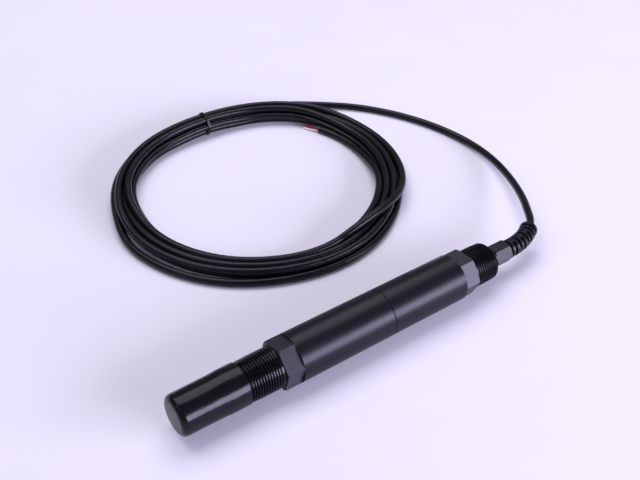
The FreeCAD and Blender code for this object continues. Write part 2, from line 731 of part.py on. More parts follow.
SLEEVE_LENGTH = value("relief_start + relief_bend_radius * relief_bend_angle * pi / 180")
RIB_COUNT = 1 + int((SLEEVE_LENGTH - value("rib_offset + rib_thickness / 2")) / value("rib_pitch"))
sleeve = [
    nut,
    cylinder("relief_core_start", "relief_core_radius", "relief_start", RELIEF),
    bend("relief_core_bend", "relief_core_radius"),
    cylinder("relief_tip", "relief_tip_radius", "relief_tip_length", TIP_X, TIP_Y, AXIS, "relief_bend_angle"),
]
for number in range(RIB_COUNT):
    middle = value("rib_offset") + value("rib_pitch") * number
    x, y, heading = on_relief(middle)
    share = number / (RIB_COUNT - 1)
    radius = f"(rib_first_radius + (rib_last_radius - rib_first_radius) * {share})"
    rib = cylinder(
        f"relief_rib_{number + 1}", radius, "rib_thickness",
        f"({x} - rib_thickness / 2 * cos({heading}))", f"({y} - rib_thickness / 2 * sin({heading}))",
        AXIS, heading,
    )
    sleeve.append(rib)
    if number == RIB_COUNT - 1:
        continue
    # A web joins this rib to the next one, level and upright in turn, and leaves the slots between
    x, y, heading = on_relief(middle + value("rib_pitch") / 2)
    web = doc.addObject("Part::Box", f"relief_web_{number + 1}")
    web.Placement = FreeCAD.Placement(
        FreeCAD.Vector(), FreeCAD.Rotation(FreeCAD.Vector(0, 0, 1), value(heading))
    )
    reach = f"(2 * ({radius} - web_inset))"
    width, tall = (reach, "web_width") if number % 2 else ("web_width", reach)
    web.setExpression("Length", bind("rib_pitch"))
    web.setExpression("Width", bind(width))
    web.setExpression("Height", bind(tall))
    place(
        web,
        f"({x} - rib_pitch / 2 * cos({heading}) + {width} / 2 * sin({heading}))",
        f"({y} - rib_pitch / 2 * sin({heading}) - {width} / 2 * cos({heading}))",
        f"({AXIS} - {tall} / 2)",
    )
    sleeve.append(web)
relief_solid = doc.addObject("Part::MultiFuse", "relief_moulding")
relief_solid.Shapes = sleeve
relief_bores = doc.addObject("Part::MultiFuse", "relief_bores")
relief_bores.Shapes = [
    cylinder("relief_neck_bore", "outlet_neck_radius + seat_clearance",
             "outlet_neck_length + seat_clearance", NUT),
    cylinder("relief_start_bore", BORE, "nut_length + relief_start", NUT),
    bend("relief_bend_bore", BORE),
    cylinder("relief_tip_bore", BORE, "relief_tip_length", TIP_X, TIP_Y, AXIS, "relief_bend_angle"),
]
bend_relief = doc.addObject("Part::Cut", "bend_relief")
bend_relief.Label = "bend_relief"
bend_relief.Base = relief_solid
bend_relief.Tool = relief_bores
pieces["bend_relief"] = bend_relief
doc.recompute()

# Inner end of the cable: from the rear connector through the gland and the sleeve to the relief's tip
INNER_START = f"({REAR_CONNECTOR} + connector_length)"
inner_cable = doc.addObject("Part::MultiFuse", "inner_cable")
inner_cable.Label = "inner_cable"
inner_cable.Shapes = [
    cylinder("inner_cable_straight", "cable_radius", f"{BEND} - {INNER_START}", INNER_START),
    bend("inner_cable_bend", "cable_radius"),
    cylinder("inner_cable_tip", "cable_radius", "relief_tip_length", TIP_X, TIP_Y, AXIS,
             "relief_bend_angle"),
]
pieces["inner_cable"] = inner_cable
doc.recompute()

# Free cable: the first run points out of the relief, then the route comes down to the floor,
# swings round beside the coil and joins its outer turn; the points after the second are chosen by hand
heading = math.radians(value("relief_bend_angle"))
direction = FreeCAD.Vector(math.cos(heading), math.sin(heading), 0)
exit_point = FreeCAD.Vector(value(TIP_X), value(TIP_Y), value(AXIS)) + direction * value("relief_tip_length")
FIRST_RUN = 13.8
cable_radius = value("cable_radius")
FLOOR_HEIGHT = cable_radius + 0.05
ROUTE = [
    exit_point,
    exit_point + direction * FIRST_RUN,
    FreeCAD.Vector(197.2, 35.6, 14.2),
    FreeCAD.Vector(208.2, 55.6, 11.2),
    FreeCAD.Vector(217.5, 74.0, 8.6),
    FreeCAD.Vector(227.0, 96.5, 6.0),
    FreeCAD.Vector(233.0, 120.5, 4.0),
    FreeCAD.Vector(234.3, 147.0, FLOOR_HEIGHT),
    FreeCAD.Vector(228.5, 178.0, FLOOR_HEIGHT),
    FreeCAD.Vector(215.5, 211.0, FLOOR_HEIGHT),
    FreeCAD.Vector(195.0, 242.0, FLOOR_HEIGHT),
    FreeCAD.Vector(166.0, 267.0, FLOOR_HEIGHT),
    FreeCAD.Vector(132.0, 285.5, FLOOR_HEIGHT),
    FreeCAD.Vector(98.0, 294.5, FLOOR_HEIGHT),
    FreeCAD.Vector(66.0, 297.5, FLOOR_HEIGHT),
]
ARC_SHARE = 0.45


def rounded_path(points):
    """Straight runs joined by tangent arcs, each as large as its two runs allow."""
    edges = []
    radii = []
    start = points[0]
    for before, corner, after in zip(points, points[1:], points[2:]):
        back = (before - corner).normalize()
        ahead = (after - corner).normalize()
        half_turn = (math.pi - back.getAngle(ahead)) / 2
        reach = ARC_SHARE * min((before - corner).Length, (after - corner).Length)
        radius = reach / math.tan(half_turn)
        first = corner + back * reach
        last = corner + ahead * reach
        middle = corner + (back + ahead).normalize() * (radius / math.cos(half_turn) - radius)
        edges.append(Part.LineSegment(start, first).toShape())
        edges.append(Part.Arc(first, middle, last).toShape())
        radii.append(radius)
        start = last
    edges.append(Part.LineSegment(start, points[-1]).toShape())
    return Part.Wire(edges), radii


lead_path, lead_radii = rounded_path(ROUTE)
ring_edge = Part.makeCircle(cable_radius, exit_point, direction)
cable_lead = doc.addObject("Part::Feature", "cable_lead")
cable_lead.Label = "cable_lead"
cable_lead.Shape = lead_path.makePipeShell([Part.Wire([ring_edge])], True, False)
pieces["cable_lead"] = cable_lead
section_area = math.pi * cable_radius ** 2
print("lead length mm", round(lead_path.Length, 1))
print("lead arc radii mm", [round(radius, 1) for radius in lead_radii])
lead_share = cable_lead.Shape.Volume / section_area / lead_path.Length
print("lead volume over section times length", round(lead_share, 4))

# Coil: the outer shape of the wound cable, an oval ring that lies on the floor
LONG = "(coil_radius + coil_stretch)"
SHORT = "(coil_radius - coil_stretch)"
coil_ring = doc.addObject("PartDesign::Body", "coil_ring")
coil_ring.Placement = FreeCAD.Placement(
    FreeCAD.Vector(), FreeCAD.Rotation(FreeCAD.Vector(0, 0, 1), value("coil_turn"))
)
coil_ring.setExpression("Placement.Rotation.Angle", bind("coil_turn"))
place(coil_ring, "coil_centre_x", "coil_centre_y", "0")


def add_oval(sketch, long_radius, short_radius):
    """An ellipse about the origin with its long axis level, tied to the sheet by its two axes."""
    oval = sketch.addGeometry(Part.Ellipse(
        FreeCAD.Vector(value(long_radius), 0, 0), FreeCAD.Vector(0, value(short_radius), 0), FreeCAD.Vector()
    ))
    sketch.exposeInternalGeometry(oval)
    pin(sketch, "DistanceX", oval, 3, "0")
    pin(sketch, "DistanceY", oval, 3, "0")
    sketch.addConstraint(Sketcher.Constraint("Horizontal", oval + 1))
    for line, radius in ((oval + 1, long_radius), (oval + 2, short_radius)):
        number = sketch.addConstraint(Sketcher.Constraint("Distance", line, 2 * value(radius)))
        sketch.setExpression(f"Constraints[{number}]", bind(f"2 * ({radius})"))


coil_outline = new_sketch(coil_ring, "coil_outline", "XY_Plane")
for side in ("+", "-"):
    add_oval(coil_outline, f"{LONG} {side} coil_width / 2", f"{SHORT} {side} coil_width / 2")
coil_pad = coil_ring.newObject("PartDesign::Pad", "coil_pad")
coil_pad.Profile = coil_outline
coil_pad.setExpression("Length", bind("coil_height"))
doc.recompute()
soften(
    coil_ring, "coil_rounding", "Fillet", "coil_round",
    lambda edge: edge.Curve.TypeId == "Part::GeomEllipse",
)

# The tie stands square to the oval: its place and heading follow from one angle on the oval
TIE_ACROSS = f"({LONG} * cos(tie_turn))"
TIE_ALONG = f"({SHORT} * sin(tie_turn))"
TIE_X = f"(coil_centre_x + {TIE_ACROSS} * cos(coil_turn) - {TIE_ALONG} * sin(coil_turn))"
TIE_Y = f"(coil_centre_y + {TIE_ACROSS} * sin(coil_turn) + {TIE_ALONG} * cos(coil_turn))"
TIE_HEADING = f"(coil_turn + atan({LONG} / {SHORT} * tan(tie_turn)) / 1deg)"


def place_at_tie(body):
    """Puts a body on the coil's middle line at the tie, with its X axis pointing outwards."""
    body.Placement = FreeCAD.Placement(
        FreeCAD.Vector(), FreeCAD.Rotation(FreeCAD.Vector(0, 0, 1), value(TIE_HEADING))
    )
    body.setExpression("Placement.Rotation.Angle", bind(TIE_HEADING))
    place(body, TIE_X, TIE_Y, "0")


# Near the tie the turns are drawn into a round bundle, which follows the oval's own bend there
BEND_RADIUS = f"(({LONG} * sin(tie_turn)) ^ 2 + ({SHORT} * cos(tie_turn)) ^ 2) ^ 1.5 / ({LONG} * {SHORT})"
WAIST_RADIUS = "(bundle_radius - waist_depth)"
STRAP_BORE = f"({WAIST_RADIUS} + seat_clearance)"
BUNDLE_HEIGHT = f"({STRAP_BORE} + tie_thickness)"
tie_bundle = doc.addObject("Part::Torus", "tie_bundle")
tie_bundle.Placement = FreeCAD.Placement(
    FreeCAD.Vector(), FreeCAD.Rotation(FreeCAD.Vector(0, 0, 1), value(f"{TIE_HEADING} - bundle_angle / 2"))
)
tie_bundle.setExpression("Placement.Rotation.Angle", bind(f"{TIE_HEADING} - bundle_angle / 2"))
tie_bundle.setExpression("Radius1", bind(BEND_RADIUS))
tie_bundle.setExpression("Radius2", bind("bundle_radius"))
tie_bundle.setExpression("Angle3", bind("bundle_angle"))
place(
    tie_bundle,
    f"({TIE_X} - {BEND_RADIUS} * cos({TIE_HEADING}))",
    f"({TIE_Y} - {BEND_RADIUS} * sin({TIE_HEADING}))",
    BUNDLE_HEIGHT,
)
bundle_ends = []
for side in (-1, 1):
    end_heading = f"({TIE_HEADING} + {side} * bundle_angle / 2)"
    bundle_end = doc.addObject("Part::Sphere", f"bundle_end_{len(bundle_ends) + 1}")
    bundle_end.setExpression("Radius", bind("bundle_radius"))
    place(
        bundle_end,
        f"({TIE_X} - {BEND_RADIUS} * (cos({TIE_HEADING}) - cos({end_heading})))",
        f"({TIE_Y} - {BEND_RADIUS} * (sin({TIE_HEADING}) - sin({end_heading})))",
        BUNDLE_HEIGHT,
    )
    bundle_ends.append(bundle_end)
bundled_ring = doc.addObject("Part::MultiFuse", "bundled_ring")
bundled_ring.Shapes = [coil_ring, tie_bundle, *bundle_ends]


def sleeve_pad(body, name, draw_outer, inner_radius, width):
    """A pad across the coil at the tie, with a round hole for what the tie holds."""
    sketch = new_sketch(body, f"{name}_outline", "XZ_Plane")
    draw_outer(sketch)
    add_circle(sketch, "0", BUNDLE_HEIGHT, inner_radius)
    pad = body.newObject("PartDesign::Pad", f"{name}_pad")
    pad.Profile = sketch
    pad.Midplane = True
    pad.setExpression("Length", bind(width))
    doc.recompute()
    return pad


# The strap's groove is cleared round the bundle, right through the coil's own section
coil_waist = doc.addObject("PartDesign::Body", "coil_waist")
sleeve_pad(
    coil_waist, "coil_waist",
    lambda sketch: add_circle(sketch, "0", BUNDLE_HEIGHT, "bundle_radius + coil_width / 2"),
    WAIST_RADIUS, "(tie_width + 2 * tie_side_room)",
)
place_at_tie(coil_waist)
waisted_ring = doc.addObject("Part::Cut", "waisted_ring")
waisted_ring.Base = bundled_ring
waisted_ring.Tool = coil_waist

# The free end leaves the coil as a straight piece of cable and carries the stripped cores
free_end = doc.addObject("Part::Cylinder", "free_end")
free_end.setExpression("Radius", bind("cable_radius"))
free_end.setExpression("Height", bind("free_end_length"))
LAID = FreeCAD.Rotation(FreeCAD.Vector(0, 1, 0), 90)
AHEAD = FreeCAD.Rotation(FreeCAD.Vector(0, 0, 1), value("free_end_heading")).multiply(LAID)
free_end.Placement = FreeCAD.Placement(FreeCAD.Vector(), AHEAD)
FREE_END_HEIGHT = "(cable_radius + free_end_lift)"
place(
    free_end,
    "free_end_x - free_end_length * cos(free_end_heading)",
    "free_end_y - free_end_length * sin(free_end_heading)",
    FREE_END_HEIGHT,
)
cable_coil = doc.addObject("Part::MultiFuse", "cable_coil")
cable_coil.Label = "cable_coil"
cable_coil.Shapes = [waisted_ring, free_end]
pieces["cable_coil"] = cable_coil
doc.recompute()

# Tie: a flat strap round the bundle with its lock head on the upper inner side
cable_tie = new_body("cable_tie", "0", "0", "0")
sleeve_pad(
    cable_tie, "tie_strap",
    lambda sketch: add_circle(sketch, "0", BUNDLE_HEIGHT, f"{STRAP_BORE} + tie_thickness"),
    STRAP_BORE, "tie_width",
)
place_at_tie(cable_tie)
HEAD_FLOOR = f"({STRAP_BORE} + tie_thickness / 2)"
HEAD_TOP = f"({STRAP_BORE} + tie_head_height)"
head_sketch = new_sketch(cable_tie, "tie_head_outline", "XZ_Plane")
add_outline(head_sketch, [
    (
        f"({reach} * cos(tie_head_angle) - {side} * tie_head_length / 2 * sin(tie_head_angle))",
        f"({BUNDLE_HEIGHT} + {reach} * sin(tie_head_angle)"
        f" + {side} * tie_head_length / 2 * cos(tie_head_angle))",
    )
    for reach, side in ((HEAD_FLOOR, -1), (HEAD_TOP, -1), (HEAD_TOP, 1), (HEAD_FLOOR, 1))
])
tie_head = cable_tie.newObject("PartDesign::Pad", "tie_head")
tie_head.Profile = head_sketch
tie_head.Midplane = True
tie_head.setExpression("Length", bind("tie_width + 2 * tie_side_room - seat_clearance"))
doc.recompute()

# Stripped cores: four thin wires, two by two, that go on from the free end's cut face
WIRES = {"wire_red": (1, 1), "wire_green": (-1, 1), "wire_white": (1, -1), "wire_black": (-1, -1)}
for label, (column, level) in WIRES.items():
    wire = doc.addObject("Part::Cylinder", label)
    wire.Label = label
    wire.setExpression("Radius", bind("wire_radius"))
    wire.setExpression("Height", bind("wire_length"))
    wire.Placement = FreeCAD.Placement(FreeCAD.Vector(), AHEAD)
    place(
        wire,
        f"free_end_x + {column} * wire_pitch / 2 * -sin(free_end_heading)",
        f"free_end_y + {column} * wire_pitch / 2 * cos(free_end_heading)",
        f"{FREE_END_HEIGHT} + {level} * wire_pitch / 2",
    )
    pieces[label] = wire
doc.recompute()

# Every feature has to be sound before a file is written
for item in doc.Objects:
    if "Invalid" in item.State or "Error" in item.State:
        raise RuntimeError(f"{item.Name} failed: {item.State}")
for label, piece in pieces.items():
    if piece.Shape.isNull() or not piece.Shape.isValid() or not piece.Shape.Solids:
        raise RuntimeError(f"{label} has no sound solid")

os.makedirs("parts", exist_ok=True)
for label, piece in pieces.items():
    piece.Shape.exportStep(f"parts/{label}.step")
print("pieces", len(pieces))
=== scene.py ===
# %% [markdown]
# # An ammonia nitrogen sensor, dressed on its CAD frame
#
# The object is a black plastic water probe. It lies on its barrel, with pipe threads and hexagons at both
# ends, a soft cap pushed over the sensing head, and five metres of cable tied in a coil beside it.
# The frame comes from CAD in metres, so every piece here goes straight to its real place. The lesson goes
# from the camera, the finishes and the light to the cable and its tie, then to the turned and moulded parts
# and the threads.

# %%
import json
import math

import bmesh
import bpy
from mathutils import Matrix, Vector


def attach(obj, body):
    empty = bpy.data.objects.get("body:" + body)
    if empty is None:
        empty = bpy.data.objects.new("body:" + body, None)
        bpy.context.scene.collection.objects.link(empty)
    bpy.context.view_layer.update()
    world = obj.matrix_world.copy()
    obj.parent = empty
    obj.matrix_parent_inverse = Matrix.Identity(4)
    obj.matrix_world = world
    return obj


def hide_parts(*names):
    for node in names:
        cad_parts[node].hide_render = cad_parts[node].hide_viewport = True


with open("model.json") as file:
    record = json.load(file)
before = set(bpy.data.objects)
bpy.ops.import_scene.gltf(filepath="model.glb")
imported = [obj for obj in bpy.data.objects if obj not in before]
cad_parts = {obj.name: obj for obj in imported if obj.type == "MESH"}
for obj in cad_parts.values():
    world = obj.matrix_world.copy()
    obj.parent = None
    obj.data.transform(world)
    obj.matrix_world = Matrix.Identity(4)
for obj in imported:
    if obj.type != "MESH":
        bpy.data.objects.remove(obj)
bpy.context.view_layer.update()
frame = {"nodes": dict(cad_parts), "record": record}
NODES = frame["nodes"]
scene = bpy.context.scene
MM = 0.001

# %% [markdown]
# ## Camera
#
# The photograph's camera was solved from the probe's own edges: its place, where it looks and its lens.
# A camera that is solved and not guessed gives every later comparison one meaning: what differs in the
# picture differs in the model. It could also be set by eye against two or three edges, but then the size of
# the coil and the length of the lens are hard to tell apart.

# %%
CAMERA_PLACE = Vector((-246.9, -314.6, 389.1)) * MM
CAMERA_LOOK = Vector((0.4664, 0.6462, -0.6041))
LENS_MM = 49.46

camera_data = bpy.data.cameras.new("camera")
camera_data.lens = LENS_MM
camera_data.sensor_width = 36.0
camera_data.clip_start = 0.01
camera_data.clip_end = 20.0
camera = bpy.data.objects.new("camera", camera_data)
scene.collection.objects.link(camera)
camera.location = CAMERA_PLACE
camera.rotation_mode = "QUATERNION"
camera.rotation_quaternion = CAMERA_LOOK.to_track_quat("-Z", "Y")
scene.camera = camera
print("camera tilt in degrees", round(math.degrees(math.asin(-CAMERA_LOOK.normalized().z)), 1))

# %% [markdown]
# ## Small tools
#
# A few functions do the work that every piece needs. Colours are written as sRGB hex, the way a colour
# picker shows them, and one function turns them into the linear numbers that shaders use. One function adds
# a node and sets its inputs, so a material reads as a list of what it is made of. Two more put a piece into
# the scene and shade it: smooth where faces meet gently, crisp at a real edge.

# %%


def colour(text):
    """Linear RGBA from an sRGB hex string such as 1B1C1E."""
    parts = [int(text[i:i + 2], 16) / 255 for i in (0, 2, 4)]
    return (*[c / 12.92 if c <= 0.04045 else ((c + 0.055) / 1.055) ** 2.4 for c in parts], 1.0)


def add_node(tree, kind, inputs=None, **settings):
    """Adds one shader node, sets its properties, and links or sets its inputs."""
    node = tree.nodes.new(kind)
    for name, setting in settings.items():
        setattr(node, name, setting)
    for key, source in (inputs or {}).items():
        if isinstance(source, bpy.types.NodeSocket):
            tree.links.new(source, node.inputs[key])
        else:
            node.inputs[key].default_value = source
    return node


def new_material(name, **surface):
    """A material with a Principled surface, and object coordinates in metres for its patterns."""
    material = bpy.data.materials.new(name)
    material.use_nodes = True
    tree = material.node_tree
    tree.nodes.clear()
    shader = add_node(tree, "ShaderNodeBsdfPrincipled", surface)
    output = add_node(tree, "ShaderNodeOutputMaterial")
    tree.links.new(shader.outputs[0], output.inputs["Surface"])
    place = add_node(tree, "ShaderNodeTexCoord").outputs["Object"]
    return material, tree, shader, place


def ramp(tree, source, stops):
    """A colour ramp through (position, colour) stops."""
    node = add_node(tree, "ShaderNodeValToRGB", {"Fac": source})
    while len(node.color_ramp.elements) < len(stops):
        node.color_ramp.elements.new(0.5)
    for element, (position, tone) in zip(node.color_ramp.elements, stops):
        element.position = position
        element.color = tone
    return node.outputs["Color"]


def levels(tree, source, low, high):
    """Maps 0..1 to low..high."""
    return add_node(tree, "ShaderNodeMapRange", {"Value": source, "To Min": low, "To Max": high}).outputs[0]


def noise(tree, place, size_mm, detail, stretch=(1, 1, 1)):
    """Noise whose lumps are about size_mm across, or longer along an axis that is stretched."""
    moved = add_node(tree, "ShaderNodeMapping", {"Vector": place, "Scale": tuple(1 / s for s in stretch)})
    return add_node(
        tree, "ShaderNodeTexNoise",
        {"Vector": moved.outputs[0], "Scale": 1 / (size_mm * MM), "Detail": detail},
    ).outputs[0]


def bump(tree, shader, height, distance_mm, under=None):
    """Raises the surface by a height pattern of 0..1, distance_mm tall."""
    inputs = {"Height": height, "Distance": distance_mm * MM, "Strength": 1.0}
    if under is not None:
        inputs["Normal"] = under
    node = add_node(tree, "ShaderNodeBump", inputs)
    tree.links.new(node.outputs[0], shader.inputs["Normal"])
    return node.outputs[0]


def add_object(name, data):
    """A new object in the scene."""
    made = bpy.data.objects.new(name, data)
    scene.collection.objects.link(made)
    return made


def add_solid(name, work):
    """A new object from a bmesh, which is used up."""
    bmesh.ops.recalc_face_normals(work, faces=work.faces)
    mesh = bpy.data.meshes.new(name)
    work.to_mesh(mesh)
    work.free()
    return add_object(name, mesh)


def shade(made, angle):
    """Smooth shading, broken at edges sharper than an angle in degrees."""
    for face in made.data.polygons:
        face.use_smooth = True
    made.data.set_sharp_from_angle(angle=math.radians(angle))


print("tools ready for", len(NODES), "nodes")

# %% [markdown]
# ## Materials
#
# Nearly everything here is black, so the finishes have to do the work. The housing is machined acetal: its
# tool leaves rings, and its sheen is broad. The cap is dipped vinyl: glossy, with long soft waves. The cable
# jacket is extruded PVC with a fine grain. One black with one roughness would do for an outline, but black
# shows what it is only in its highlights, so each piece gets its own. Every pattern has a size in
# millimetres, and colour, roughness and bump share one pattern where the real surface would.

# %%
MATERIALS = {}
# The tint that the photograph's reflections have on every black piece
COOL = (0.84, 0.84, 1.0, 1.0)
# The Wave node turns 20 radians for each unit of its scaled coordinate, so this gives rings 2.8 mm apart
RING_MM = 0.45
WAVE_RADIANS = 20
# Stretches along X as (middle, half length) in mm. The two hexagons get a lighter colour added, a painted
# sheen for the bright reflection on their flats, and the die burnishes the front thread, which takes this
# much off its roughness.
PAINTED_SHEEN_BANDS = [(-47.25, 5.85), (93.25, 5.85)]
PAINTED_SHEEN_TONE = "292930"
THREADED = [(-64.75, 11.7)]
BURNISHED = 0.14


def math_node(tree, operation, *values):
    """The result of one Math node."""
    return add_node(tree, "ShaderNodeMath", dict(enumerate(values)), operation=operation).outputs[0]


def bands(tree, along, stretches):
    """1 inside any of the stretches along X, 0 elsewhere."""
    inside = None
    for middle, half_length in stretches:
        near = math_node(tree, "COMPARE", along, middle * MM, half_length * MM)
        inside = near if inside is None else math_node(tree, "ADD", inside, near)
    return inside


def machined_plastic(name, base, lighter, rough_low, rough_high):
    """Turned plastic: rings of tool marks along X, wiped smears, a fine grain, a painted sheen on the
    hexagons, a glossier thread.
    """
    material, tree, shader, place = new_material(
        name, **{"Specular IOR Level": 0.23, "Specular Tint": COOL}
    )
    smear = noise(tree, place, 14, 4, (3, 1, 1))
    rings = add_node(tree, "ShaderNodeTexWave", {
        "Vector": place, "Scale": 1 / (RING_MM * MM) / WAVE_RADIANS, "Distortion": 0.6, "Detail": 2.0,
    }, bands_direction="X")
    fine = noise(tree, place, 0.5, 3)
    both = math_node(tree, "ADD", rings.outputs["Fac"], fine)
    along = add_node(tree, "ShaderNodeSeparateXYZ", {"Vector": place}).outputs["X"]
    rough = levels(tree, smear, rough_low, rough_high)
    shine = math_node(tree, "MULTIPLY", bands(tree, along, THREADED), BURNISHED)
    tree.links.new(math_node(tree, "SUBTRACT", rough, shine), shader.inputs["Roughness"])
    tone = ramp(tree, smear, [(0.35, base), (0.75, lighter)])
    # A lighter colour added on the hexagons: a painted sheen for the reflection on their flats
    painted_sheen = add_node(tree, "ShaderNodeMixRGB", {
        "Fac": bands(tree, along, PAINTED_SHEEN_BANDS), "Color1": tone, "Color2": colour(PAINTED_SHEEN_TONE),
    }, blend_type="ADD")
    tree.links.new(painted_sheen.outputs[0], shader.inputs["Base Color"])
    bump(tree, shader, both, 0.006)
    MATERIALS[name] = material


def moulded_plastic(name, base, lighter, rough_low, rough_high, grain_mm=0.35, depth_mm=0.01):
    """Moulded or extruded plastic: a fine grain and slow changes of tone."""
    material, tree, shader, place = new_material(
        name, **{"Specular IOR Level": 0.25, "Specular Tint": COOL}
    )
    slow = noise(tree, place, 9, 3)
    tree.links.new(ramp(tree, slow, [(0.3, base), (0.75, lighter)]), shader.inputs["Base Color"])
    tree.links.new(levels(tree, slow, rough_low, rough_high), shader.inputs["Roughness"])
    bump(tree, shader, noise(tree, place, grain_mm, 2), depth_mm)
    MATERIALS[name] = material


machined_plastic("housing_plastic", colour("0D0D12"), colour("131319"), 0.28, 0.38)
moulded_plastic("relief_plastic", colour("0E0E11"), colour("141418"), 0.32, 0.42)
moulded_plastic("cable_jacket", colour("0B0B0E"), colour("141418"), 0.2, 0.3, 1.0, 0.11)
moulded_plastic("tie_nylon", colour("09090B"), colour("0F0F12"), 0.28, 0.36)
moulded_plastic("seal_rubber", colour("191919"), colour("222222"), 0.55, 0.7)
moulded_plastic("wire_red", colour("7E1034"), colour("941840"), 0.38, 0.46)
moulded_plastic("wire_green", colour("1C7150"), colour("23835D"), 0.38, 0.46)
moulded_plastic("wire_white", colour("E2DEDA"), colour("F2EFEB"), 0.38, 0.46)
moulded_plastic("wire_black", colour("1B1B1E"), colour("252528"), 0.38, 0.46)
moulded_plastic("head_plastic", colour("CFCBBF"), colour("DDDACF"), 0.4, 0.5)
moulded_plastic("guard_plastic", colour("242528"), colour("2E2F33"), 0.4, 0.55)
moulded_plastic("electrode_plastic", colour("34373C"), colour("42454B"), 0.3, 0.4)
moulded_plastic("membrane_film", colour("DCCB97"), colour("EBDCAE"), 0.3, 0.4, 0.2, 0.004)
moulded_plastic("junction_ceramic", colour("E9E5DC"), colour("F5F2EB"), 0.7, 0.85, 0.12, 0.02)
moulded_plastic("potting_resin", colour("1E2023"), colour("292B2F"), 0.12, 0.2, 1.2, 0.01)
moulded_plastic("connector_plastic", colour("DDD8C8"), colour("ECE8DB"), 0.4, 0.5)
moulded_plastic("chip_epoxy", colour("17181A"), colour("212225"), 0.5, 0.62, 0.15, 0.008)
moulded_plastic("capacitor_sleeve", colour("1F2947"), colour("2A3557"), 0.22, 0.3)
moulded_plastic("ring_plastic", colour("C2BFB4"), colour("D2CFC6"), 0.4, 0.5)

# The cap: glossy skin over a surface that waves slowly along its length
cap_material, tree, shader, place = new_material(
    "cap_vinyl", **{"Specular IOR Level": 0.24, "Specular Tint": COOL}
)
tone = noise(tree, place, 12, 3)
cap_tones = ramp(tree, tone, [(0.3, colour("08080A")), (0.8, colour("0E0E11"))])
tree.links.new(cap_tones, shader.inputs["Base Color"])
tree.links.new(levels(tree, tone, 0.16, 0.24), shader.inputs["Roughness"])
under = bump(tree, shader, noise(tree, place, 9, 2, (2.5, 1, 1)), 0.25)
bump(tree, shader, noise(tree, place, 0.9, 2), 0.012, under=under)
MATERIALS["cap_vinyl"] = cap_material

# Steel: drawn lines round the probe
steel, tree, shader, place = new_material("probe_steel", **{"Metallic": 1.0})
lines = noise(tree, place, 0.25, 3, (0.3, 4, 4))
steel_tones = ramp(tree, lines, [(0.3, colour("A3A6A8")), (0.7, colour("C6C9CB"))])
tree.links.new(steel_tones, shader.inputs["Base Color"])
tree.links.new(levels(tree, lines, 0.22, 0.36), shader.inputs["Roughness"])
MATERIALS["probe_steel"] = steel

# Glass bulb: clear, with slow waves in its wall
glass, tree, shader, place = new_material("bulb_glass", **{
    "Base Color": colour("E2ECEE"), "Transmission Weight": 1.0, "Roughness": 0.03, "IOR": 1.5,
})
bump(tree, shader, noise(tree, place, 2, 1), 0.01)
MATERIALS["bulb_glass"] = glass

# Board: green solder mask with straight copper tracks that show as slightly raised, lighter lines
board, tree, shader, place = new_material("board_laminate", **{"Coat Weight": 0.3, "Coat Roughness": 0.15})
tracks = add_node(tree, "ShaderNodeTexBrick", {
    "Vector": place, "Color1": (1, 1, 1, 1), "Color2": (0.6, 0.6, 0.6, 1), "Mortar": (0, 0, 0, 1),
    "Scale": 1 / MM, "Mortar Size": 0.25, "Brick Width": 9.0, "Row Height": 1.27,
})
tree.links.new(
    ramp(tree, tracks.outputs["Color"], [(0.1, colour("2F7A4A")), (0.7, colour("1B5633"))]),
    shader.inputs["Base Color"],
)
tree.links.new(levels(tree, noise(tree, place, 3, 2), 0.25, 0.35), shader.inputs["Roughness"])
bump(tree, shader, tracks.outputs["Fac"], 0.02)
MATERIALS["board_laminate"] = board
print("materials", len(MATERIALS))

# %% [markdown]
# ## Floor and light
#
# The photograph is a studio shot on a pale lilac-white sweep, with weak, wide shadows. The reflections tell
# where its lights stood: the streak low on the barrel and on the cap comes from a low, wide light in front
# and to the right, and the soft one along the top from a wide, dim softbox above the far side. A weak fill
# from the left opens the shadows. An even sky would be simpler, but then glossy black plastic shows no
# streaks at all. The backdrop's colour is seen by the camera only, through the Light Path node, so it
# doesn't tint the object.

# %%
FLOOR_HALF = 4
floor_mesh = bpy.data.meshes.new("floor")
corners = [(x * FLOOR_HALF, y * FLOOR_HALF, 0) for x, y in ((-1, -1), (1, -1), (1, 1), (-1, 1))]
floor_mesh.from_pydata(corners, [], [(0, 1, 2, 3)])
floor = add_object("floor", floor_mesh)
floor_material, tree, shader, place = new_material(
    "floor_paper", **{"Roughness": 0.9, "Specular IOR Level": 0.1}
)
paper = ramp(tree, noise(tree, place, 60, 3), [(0.0, colour("E7E2F4")), (1.0, colour("EBE6F9"))])
tree.links.new(paper, shader.inputs["Base Color"])
floor.data.materials.append(floor_material)

world = bpy.data.worlds.new("studio")
scene.world = world
world.use_nodes = True
tree = world.node_tree
tree.nodes.clear()
path = add_node(tree, "ShaderNodeLightPath")
ambient = add_node(tree, "ShaderNodeBackground", {"Color": colour("F4F1FF"), "Strength": 0.2})
backdrop = add_node(tree, "ShaderNodeBackground", {"Color": colour("F0EBFF"), "Strength": 1.0})
mixed = add_node(tree, "ShaderNodeMixShader", {
    0: path.outputs["Is Camera Ray"], 1: ambient.outputs[0], 2: backdrop.outputs[0],
})
add_node(tree, "ShaderNodeOutputWorld", {"Surface": mixed.outputs[0]})

# The lights look at the middle of what lies on the floor
AIM = Vector((0.05, 0.12, 0.0))


def area_light(name, place, size, watts, tint):
    """A rectangular light that faces the object, its place and size in metres."""
    data = bpy.data.lights.new(name, "AREA")
    data.shape = "RECTANGLE"
    data.size, data.size_y = size
    data.energy = watts
    data.color = colour(tint)[:3]
    lamp = add_object(name, data)
    lamp.location = place
    lamp.rotation_mode = "QUATERNION"
    lamp.rotation_quaternion = (AIM - Vector(place)).to_track_quat("-Z", "Y")


area_light("back_softbox", (0.2, 0.85, 1.85), (2.5, 1.5), 33.5, "FDFDFF")
area_light("front_key", (0.88, -1.65, 0.4), (1.8, 0.9), 80.0, "EDEAFF")
area_light("left_fill", (-1.5, 0.1, 1.3), (1.0, 1.0), 2.4, "F7F4FF")
scene.view_settings.view_transform = "Standard"

